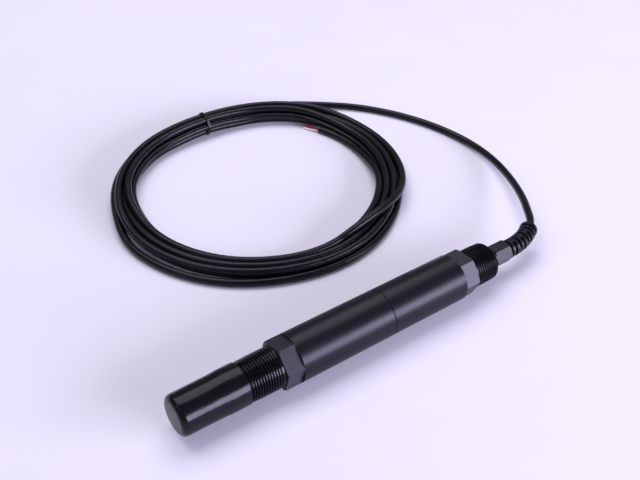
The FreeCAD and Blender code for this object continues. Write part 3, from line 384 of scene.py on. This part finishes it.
# %% [markdown]
# ## The cable
#
# The cable is one flexible length of round jacket, a little under 6 mm thick and about five metres long,
# all of it in the picture. It is one NURBS spline. The first points are the route from the bend relief down
# to the floor and round to the coil. The coil's turns are more points of the same spline, made by a loop,
# so the cable is never cut or doubled.
#
# A helix on a torus would be shorter code, but its turns would look machined. Here each turn is given a
# slot in the bundle: a tight round group of seven at the tie, and a loose one of four below and three above
# everywhere else. One strand swings wide, and the last one sinks to the inside. Then the turns settle:
# neighbours that overlap push each other apart, every strand stays as smooth as its stiffness wants, and
# none goes below the floor.

# %%
# All lengths in this cell are in mm, and heights are those of the cable's middle line
CABLE_RADIUS = 2.9
FLOOR_ROW = 3.0
# The jacket is drawn this much thinner and the strap lies this much outside it, so no two surfaces coincide
SHY = 0.02
HEADING = math.radians(30.0)
EXIT = Vector((169.552, 7.999, 16.0))
ROUTE = [
    EXIT,
    EXIT + Vector((math.cos(HEADING), math.sin(HEADING), 0)) * 6.0,
    Vector((180.6, 16.8, 15.9)),
    Vector((188.6, 27.4, 14.9)),
    Vector((197.6, 39.6, 13.6)),
    Vector((207.8, 56.0, 11.3)),
    Vector((217.5, 74.0, 8.7)),
    Vector((227.0, 96.5, 6.1)),
    Vector((233.0, 120.5, 4.1)),
    Vector((234.3, 147.0, 3.0)),
    Vector((228.5, 178.0, 3.0)),
    Vector((215.5, 211.0, 3.0)),
    Vector((195.0, 242.0, 3.0)),
    Vector((173.0, 260.5, 3.6)),
    Vector((154.0, 272.5, 5.0)),
    Vector((134.0, 281.5, 7.0)),
]
# From strand to strand, and from row to row where strands lie in each other's hollows
PITCH = 5.95
ROW = PITCH * math.sqrt(3) / 2
# The coil's oval: its middle, its half axes and how far it is turned, then where the tie sits on it
COIL_CENTRE = Vector((53.0, 181.0))
COIL_LONG, COIL_SHORT, COIL_TURN = 112.0, 102.0, math.radians(38.0)
TIE_ANGLE = 49.6
TIE_HEIGHT = 10.1
# The turns, the points in each of them, and the points between the route and the tie
TURNS = 6.84
STEPS = 48
LEAD_STEPS = 4
TIED_STRANDS = 7

# Slots are (pitches to the outside, rows up). The tied ones count rows from the bundle's middle.
LOOSE = [(1.5, 0), (0.5, 0), (-0.5, 0), (-1.5, 0), (1.0, 1), (0.0, 1), (-1.0, 1)]
TIED = [(1.0, 0), (0.5, -1), (-0.5, -1), (-1.0, 0), (0.5, 1), (0.0, 0), (-0.5, 1)]
# How far the bundle lies outside the oval, in mm, every thirty degrees from the tie on
SIDEWAYS = [-2.3, 3.0, 2.6, -3.1, -6.5, -6.0, -1.9, 0.4, 2.6, 3.9, 5.2, 2.0]

# Stretches below are (start, length) in degrees. Those with FROM in their name count from the tie onwards,
# and WIDER_TO and GATHER_TO count back from the next pass of the tie. Away from the tie the strands lie
# wider apart by this share.
WIDER, WIDER_FROM, WIDER_TO = 0.26, (165, 50), (75, 45)
# Each strand moves on to its next slot over 64 degrees, which end 120 degrees before the tie
SWAP_END, SWAP_LENGTH = 120, 64
# The strand that crosses over the others as it moves on, and how high it hops
HOPPER, HOP = 3, 9.0
# The strand that swings out, in pitches, and where it leaves and returns
SWINGER, SWING, SWING_FROM, SWING_TO = 0, 0.75, (70, 25), (125, 60)
# The last strand sinks to the floor on the inside, in pitches from the bundle's middle
SINKER, INSIDE, SINK_FROM = 6, 2.35, (215, 60)
# The tie gathers the bundle over these stretches after and before it, and lifts its middle nearby
GATHER_FROM, GATHER_TO, LIFT_LENGTH = (58, 36), (76, 34), 22
# A step away from the strap the gathered strands have this share of slack
SLACK, SLACK_LENGTH = 0.12, 16
# No strand lies quite true: it wanders sideways in two and in three waves a turn, out of step by a phase
WANDER_TWO, WANDER_THREE, WANDER_PHASE, WANDER_LENGTH = 0.45, 0.3, 2.4, 40
# The stretch before the first tied strand: where it comes from, sideways and up, and over how many degrees
LEAD_ASIDE, LEAD_HEIGHT, LEAD_LENGTH = 5.2, 5.6, 34
# Settling: rounds, the pull towards the slot, the stiffness, the air between strands, pushes a round
ROUNDS, TO_SLOT, STIFFNESS, AIR, PUSHES = 110, 0.22, 0.12, 0.08, 3
# The jacket is cut at this share of the last step
LAST_STEP = 0.78


def ease(x):
    """A smooth step from 0 to 1."""
    x = min(max(x, 0.0), 1.0)
    return x * x * (3 - 2 * x)


def change(where, stretch):
    """0 before a stretch given as (start, length), 1 after it, smooth between."""
    return ease((where - stretch[0]) / stretch[1])


def sideways(after):
    """The bundle's own way round: a smooth cubic through the measured values."""
    place = (after % 360) * len(SIDEWAYS) / 360
    i = int(place)
    part = place - i
    a, b, c, d = (SIDEWAYS[(i + k) % len(SIDEWAYS)] for k in (-1, 0, 1, 2))
    return b + 0.5 * part * (c - a + part * (2 * a - 5 * b + 4 * c - d + part * (3 * (b - c) + d - a)))


def coil_point(angle, across, height):
    """A point beside the coil's oval middle line: angle in degrees on the oval, across to its outside."""
    t = math.radians(angle)
    x, y = COIL_LONG * math.cos(t), COIL_SHORT * math.sin(t)
    nx, ny = COIL_SHORT * math.cos(t), COIL_LONG * math.sin(t)
    size = math.hypot(nx, ny)
    x, y = x + across * nx / size, y + across * ny / size
    c, s = math.cos(COIL_TURN), math.sin(COIL_TURN)
    return Vector((COIL_CENTRE.x + x * c - y * s, COIL_CENTRE.y + x * s + y * c, height))


def wanted(turn, after):
    """Across and height that a turn would like, at degrees after the tie."""
    before = 360 - after
    near_tie = min(after, before)
    spread = PITCH * (1.0 + WIDER * change(after, WIDER_FROM) * change(before, WIDER_TO))
    share = 1 - (before - SWAP_END) / SWAP_LENGTH
    here = LOOSE[turn]
    there = LOOSE[min(turn + 1, len(LOOSE) - 1)]
    across = (here[0] + (there[0] - here[0]) * ease(share)) * spread
    height = FLOOR_ROW + (here[1] + (there[1] - here[1]) * ease(share)) * ROW
    if turn == HOPPER:
        height += HOP * math.sin(math.pi * min(max(share, 0.0), 1.0)) ** 2
    if turn == SWINGER:
        across += SWING * PITCH * change(after, SWING_FROM) * (1 - change(after, SWING_TO))
    if turn == SINKER:
        sink = change(after, SINK_FROM)
        across = across * (1 - sink) - INSIDE * PITCH * sink
        height = height * (1 - sink) + FLOOR_ROW * sink
    if after < 180:
        slot, pull = turn, 1 - change(after, GATHER_FROM)
    else:
        slot, pull = turn + 1, ease((GATHER_TO[0] - before) / GATHER_TO[1])
    if slot < len(TIED):
        side, row = TIED[slot]
        lying = FLOOR_ROW + ROW
        middle = lying + (TIE_HEIGHT - lying) * (1 - ease(near_tie / LIFT_LENGTH))
        slack = 1 + SLACK * ease(near_tie / SLACK_LENGTH)
        across = across * (1 - pull) + side * PITCH * slack * pull
        height = height * (1 - pull) + (middle + row * ROW * slack) * pull
    wander = WANDER_TWO * math.sin(math.radians(2 * after) + turn * WANDER_PHASE)
    wander += WANDER_THREE * math.sin(math.radians(3 * after) - turn * WANDER_PHASE)
    return [across + wander * ease(near_tie / WANDER_LENGTH), height]


def push_apart(p, q, apart):
    """Moves two strands away from each other where they are closer than apart."""
    dx, dy = q[0] - p[0], q[1] - p[1]
    gap = max(math.hypot(dx, dy), 1e-6)
    if gap < apart:
        move = (apart - gap) / 2 / gap
        p[0] -= dx * move
        p[1] -= dy * move
        q[0] += dx * move
        q[1] += dy * move


def settle():
    """Lets the turns find room: towards their slots, smooth, apart from each other, above the floor."""
    wish = []
    for step in range(-LEAD_STEPS, 0):
        join = ease(-step * 360 / STEPS / LEAD_LENGTH)
        wish.append([PITCH + LEAD_ASIDE * join, TIE_HEIGHT + (LEAD_HEIGHT - TIE_HEIGHT) * join])
    for step in range(int(TURNS * STEPS) + 1):
        wish.append(wanted(min(step // STEPS, len(LOOSE) - 1), (step % STEPS) * 360 / STEPS))
    place = [list(pair) for pair in wish]
    columns = {}
    for n in range(len(place)):
        columns.setdefault((n - LEAD_STEPS) % STEPS, []).append(n)
    for _ in range(ROUNDS):
        for here, goal in zip(place, wish):
            for axis in (0, 1):
                here[axis] += (goal[axis] - here[axis]) * TO_SLOT
        for last, here, after in zip(place, place[1:], place[2:]):
            for axis in (0, 1):
                here[axis] += STIFFNESS * ((last[axis] + after[axis]) / 2 - here[axis])
        for _ in range(PUSHES):
            for members in columns.values():
                for i, first in enumerate(members):
                    for second in members[i + 1:]:
                        push_apart(place[first], place[second], 2 * CABLE_RADIUS + AIR)
                for n in members:
                    place[n][1] = max(place[n][1], FLOOR_ROW)
    return place


STRANDS = settle()
points = list(ROUTE)
for n, (across, height) in enumerate(STRANDS):
    after = (n - LEAD_STEPS) * 360 / STEPS
    points.append(coil_point(TIE_ANGLE + after, across + sideways(after), height))
points[-1] = points[-2].lerp(points[-1], LAST_STEP)
print("cable points", len(points), "last point mm", [round(x, 1) for x in points[-1]])


def spline_curve(name, places_mm, radius_mm, material, resolution, sides):
    """A round cable along one NURBS spline of order 3, which runs out to its first and last points."""
    curve = bpy.data.curves.new(name, "CURVE")
    curve.dimensions = "3D"
    spline = curve.splines.new("NURBS")
    spline.points.add(len(places_mm) - 1)
    for point, place in zip(spline.points, places_mm):
        point.co = (*(Vector(place) * MM), 1.0)
    spline.order_u = 3
    spline.use_endpoint_u = True
    spline.resolution_u = resolution
    curve.bevel_depth = radius_mm * MM
    curve.bevel_resolution = sides
    curve.use_fill_caps = True
    curve.materials.append(material)
    return add_object(name, curve)


cable = spline_curve(
    "sensor_cable", points, CABLE_RADIUS - SHY, MATERIALS["cable_jacket"], resolution=5, sides=5,
)
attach(cable, "probe")
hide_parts("cable_lead", "cable_coil")

# A copy without thickness turns into the cable's middle line, which gives its end
thin = cable.data.copy()
thin.bevel_depth = 0
thin_cable = bpy.data.objects.new("cable_line", thin)
line_mesh = bpy.data.meshes.new_from_object(thin_cable)
CABLE_LINE = [vertex.co.copy() for vertex in line_mesh.vertices]
bpy.data.objects.remove(thin_cable)
bpy.data.meshes.remove(line_mesh)

# %% [markdown]
# ## The tie
#
# One narrow nylon strap holds the seven strands. A plain hoop, scaled to fit, would stand off some strands
# and cut into others. A strap is wrapped tight, so its shape follows from what it holds: the outline of
# seven circles with a thin band round it. The band's corners are found by standing a line against the
# strands in every direction and keeping the outermost contact, which is what tension does. Its small
# square head sits on the outside.

# %%
STRAP_WIDTH = 2.8
STRAP_THICKNESS = 1.0
STRAP_EDGE = 0.3
STRAP_ABOVE_FLOOR = 0.15
OUTLINE_STEPS = 72
STRAP_CRISP = 35
# The head: its size outwards, up and along the cable, its rounding, and its tilt above level
HEAD_SIZE = (3.2, 3.8, 3.8)
HEAD_CORNER = 0.35
HEAD_TURN = math.radians(38.0)
UP = Vector((0, 0, 1))
tie_members = [STRANDS[n] for n in range(LEAD_STEPS, len(STRANDS), STEPS)][:TIED_STRANDS]
tie_origin = coil_point(TIE_ANGLE, sideways(0), 0)
tie_out = (coil_point(TIE_ANGLE, sideways(0) + 1, 0) - tie_origin).normalized()
tie_along = Vector((-tie_out.y, tie_out.x, 0))


def band_outline(extra):
    """The closed outline at a distance outside the strands, as (across, height) pairs."""
    outline = []
    for k in range(OUTLINE_STEPS):
        t = 2 * math.pi * k / OUTLINE_STEPS
        c, s = math.cos(t), math.sin(t)
        best = max(tie_members, key=lambda m: m[0] * c + m[1] * s)
        reach = CABLE_RADIUS + extra
        outline.append((best[0] + reach * c, max(best[1] + reach * s, STRAP_ABOVE_FLOOR)))
    return outline


strap_mesh = bmesh.new()
rings = []
inner, outer = band_outline(SHY), band_outline(SHY + STRAP_THICKNESS)
half = STRAP_WIDTH / 2
for line, along in ((inner, -half), (inner, half), (outer, half - STRAP_EDGE), (outer, -half + STRAP_EDGE)):
    ring = []
    for across, height in line:
        place = tie_origin + tie_out * across + tie_along * along + UP * height
        ring.append(strap_mesh.verts.new(place * MM))
    rings.append(ring)
for one, two in zip(rings, rings[1:] + rings[:1]):
    for k in range(OUTLINE_STEPS):
        n = (k + 1) % OUTLINE_STEPS
        strap_mesh.faces.new((one[k], one[n], two[n], two[k]))


def rounded_block(work, centre, size, axes, corner):
    """A block with bevelled edges, on three axes of its own."""
    made = bmesh.ops.create_cube(work, size=1.0)
    for vertex in made["verts"]:
        vertex.co = (centre + sum((axes[i] * vertex.co[i] * size[i] for i in range(3)), Vector())) * MM
    edges = {edge for vertex in made["verts"] for edge in vertex.link_edges}
    bmesh.ops.bevel(work, geom=list(edges), offset=corner * MM, segments=2, affect="EDGES", profile=0.6)


head_way = tie_out * math.cos(HEAD_TURN) + UP * math.sin(HEAD_TURN)
head_side = -tie_out * math.sin(HEAD_TURN) + UP * math.cos(HEAD_TURN)
far = max(m[0] * math.cos(HEAD_TURN) + m[1] * math.sin(HEAD_TURN) for m in tie_members) + CABLE_RADIUS
head_place = tie_origin + head_way * (far + HEAD_SIZE[0] / 2)
rounded_block(strap_mesh, head_place, HEAD_SIZE, (head_way, head_side, tie_along), HEAD_CORNER)
strap = add_solid("cable_tie_strap", strap_mesh)
shade(strap, STRAP_CRISP)
strap.data.materials.append(MATERIALS["tie_nylon"])
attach(strap, "probe")
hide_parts("cable_tie")
print("strap height in mm", round(max(h for _, h in outer), 1), "faces", len(strap.data.polygons))

# %% [markdown]
# ## The stripped end
#
# The jacket ends at the inside of the coil and four thin cores come out. They could be one bundle in four
# colours, but each core bends by itself, so each is its own piece on its own spline. They leave the jacket
# side by side, then lie down towards the floor, because nothing holds thin wire up.

# %%
end_point = CABLE_LINE[-1] / MM
end_heading = (CABLE_LINE[-1] - CABLE_LINE[-3]).normalized()
side_way = Vector((-end_heading.y, end_heading.x, 0)).normalized()
WIRE_RADIUS = 0.9
# Half a core's thickness with a little air, and the stretch over which a core comes down to the floor
WIRE_HALF = 0.95
WIRE_FALL = 13.0
# The points along each core, from inside the jacket outwards
WIRE_PLACES = (-2.0, 0.5, 4.0, 8.0, 12.0, 15.0)
# Where each core leaves the jacket, as (column, level), how far it spreads sideways, and where it rests
CORES = {
    "wire_red": (1, 1, 0.6, WIRE_HALF + 2 * WIRE_RADIUS),
    "wire_green": (-1, 1, -1.4, WIRE_HALF),
    "wire_white": (1, -1, 1.6, WIRE_HALF),
    "wire_black": (-1, -1, -0.4, WIRE_HALF),
}
wires = {}
for name, (column, level, spread_mm, rest_height) in CORES.items():
    start_height = end_point.z + level * WIRE_HALF
    places = []
    for along in WIRE_PLACES:
        fall = ease(along / WIRE_FALL)
        place = end_point + end_heading * along + side_way * (column + spread_mm * fall)
        place.z = start_height * (1 - fall) + rest_height * fall
        places.append(place)
    wires[name] = spline_curve(
        name + "_core", places, WIRE_RADIUS, MATERIALS[name], resolution=6, sides=4,
    )
    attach(wires[name], "probe")
    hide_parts(name)
print("cores", sorted(wires))

# %% [markdown]
# ## Turned and moulded parts
#
# The rigid pieces could be modelled once more here, but the CAD solids have every size right already, so
# only their finish is missing. A CAD mesh is loose triangles, so a copy is merged before it is shaded. Faces
# that meet at less than 30 degrees are smoothed into each other and sharper ones stay crisp, which is how a
# turned part looks: round walls, sharp shoulders. The CAD node itself is never changed. It is replaced by
# the dressed copy.

# %%
# In metres: points closer than MERGE become one, and edges shorter than MINUTE are dropped
MERGE = 1e-6
MINUTE = 1e-7
TURNED_CRISP = 30


def merged_copy(node, name):
    """A merged copy of a CAD node's mesh, ready for shading."""
    mesh = NODES[node].data.copy()
    mesh.name = name
    work = bmesh.new()
    work.from_mesh(mesh)
    bmesh.ops.remove_doubles(work, verts=work.verts, dist=MERGE)
    bmesh.ops.dissolve_degenerate(work, edges=work.edges, dist=MINUTE)
    bmesh.ops.recalc_face_normals(work, faces=work.faces)
    work.to_mesh(mesh)
    work.free()
    for attribute in ("custom_normal", "sharp_face"):
        if attribute in mesh.attributes:
            mesh.attributes.remove(mesh.attributes[attribute])
    return add_object(name, mesh)


def dress(made, body, slot, *nodes):
    """Gives a piece the one material of its slot, puts it on its body and hides the nodes that it stands
    for.
    """
    made.data.materials.clear()
    made.data.materials.append(MATERIALS[slot])
    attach(made, body)
    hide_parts(*nodes)
    return made


SLOT_OF = {part["node"]: part["material_slot"] for part in frame["record"]["subparts"]}
PLAIN = [
    "protective_cap", "gland_body", "bend_relief", "gland_seal", "inner_cable", "electrode_holder",
    "electrode_guard", "ammonium_electrode", "ammonium_membrane", "ph_electrode", "ph_bulb",
    "reference_electrode", "reference_junction", "temperature_probe", "electrode_harness", "head_o_ring",
    "housing_o_ring", "signal_board", "front_connector", "rear_connector", "amplifier_chip",
    "processor_chip", "converter_module", "capacitor", "front_board_ring", "rear_board_ring",
]
for node in PLAIN:
    made = merged_copy(node, node + "_dressed")
    shade(made, TURNED_CRISP)
    body = "cap" if node == "protective_cap" else "probe"
    dress(made, body, SLOT_OF[node], node)

# %% [markdown]
# ## Pipe threads
#
# Both ends carry a three-quarter inch taper pipe thread: 14 turns to the inch, flanks at 60 degrees, and a
# cone of one in sixteen. The CAD has the thread at its crest size. A bump pattern would be quicker, but it
# leaves the outline smooth, and a stack of rings has no lead. Here a cutter, one long wedge wound along the
# cone, takes the groove out of the solid, the same way a die does. Where the cone grows past the plain pipe
# the groove fades out by itself, as it does on a real thread.

# %%
# Sizes in mm. The taper is that of the radius, half of the one in sixteen of the diameter.
THREAD_PITCH = 25.4 / 14
CREST_RADIUS = 13.015
GROOVE_DEPTH = 1.25
TAPER = 1 / 32
FLANK = math.radians(30)
# The wedge: half its width at the root, and its height, which reaches well past the crests
HALF_ROOT = 0.1
WEDGE_HEIGHT = 2.6
HALF_TOP = HALF_ROOT + WEDGE_HEIGHT * math.tan(FLANK)
SEGMENTS = 64
AXIS_HEIGHT = 16
THREAD_CRISP = 28
# The small end of each thread, the way into the housing along X, and the turns of its groove
THREADS = {"front_housing": (-76.5, 1, 13.4), "rear_housing": (120.5, -1, 12.3)}


def thread_cutter(name, start, inward, turns):
    """A wedge wound along the cone, from one pitch before the thread's small end inwards."""
    work = bmesh.new()
    rings = []
    for step in range(int(turns * SEGMENTS) + 1):
        along = -THREAD_PITCH + step * THREAD_PITCH / SEGMENTS
        angle = -inward * 2 * math.pi * step / SEGMENTS
        root = CREST_RADIUS - GROOVE_DEPTH + TAPER * max(along, 0.0)
        top = root + WEDGE_HEIGHT
        ring = []
        for shift, radius in ((-HALF_ROOT, root), (HALF_ROOT, root), (HALF_TOP, top), (-HALF_TOP, top)):
            x = start + inward * (along + shift)
            y, z = radius * math.cos(angle), AXIS_HEIGHT + radius * math.sin(angle)
            ring.append(work.verts.new((x * MM, y * MM, z * MM)))
        rings.append(ring)
    for first, second in zip(rings, rings[1:]):
        for i in range(len(first)):
            j = (i + 1) % len(first)
            work.faces.new((first[i], first[j], second[j], second[i]))
    work.faces.new(rings[0])
    work.faces.new(list(reversed(rings[-1])))
    return add_solid(name, work)


def cut(target, tool):
    """Takes the tool out of the target and keeps only the result."""
    groove = target.modifiers.new("cut", "BOOLEAN")
    groove.operation = "DIFFERENCE"
    groove.solver = "EXACT"
    groove.object = tool
    graph = bpy.context.evaluated_depsgraph_get()
    mesh = bpy.data.meshes.new_from_object(target.evaluated_get(graph))
    target.modifiers.clear()
    target.data = mesh
    bpy.data.objects.remove(tool)


for node, wound in THREADS.items():
    housing = merged_copy(node, node + "_threaded")
    before = len(housing.data.vertices)
    cut(housing, thread_cutter(node + "_cutter", *wound))
    shade(housing, THREAD_CRISP)
    dress(housing, "probe", SLOT_OF[node], node)
    print(node, "vertices before and after the thread", before, len(housing.data.vertices))
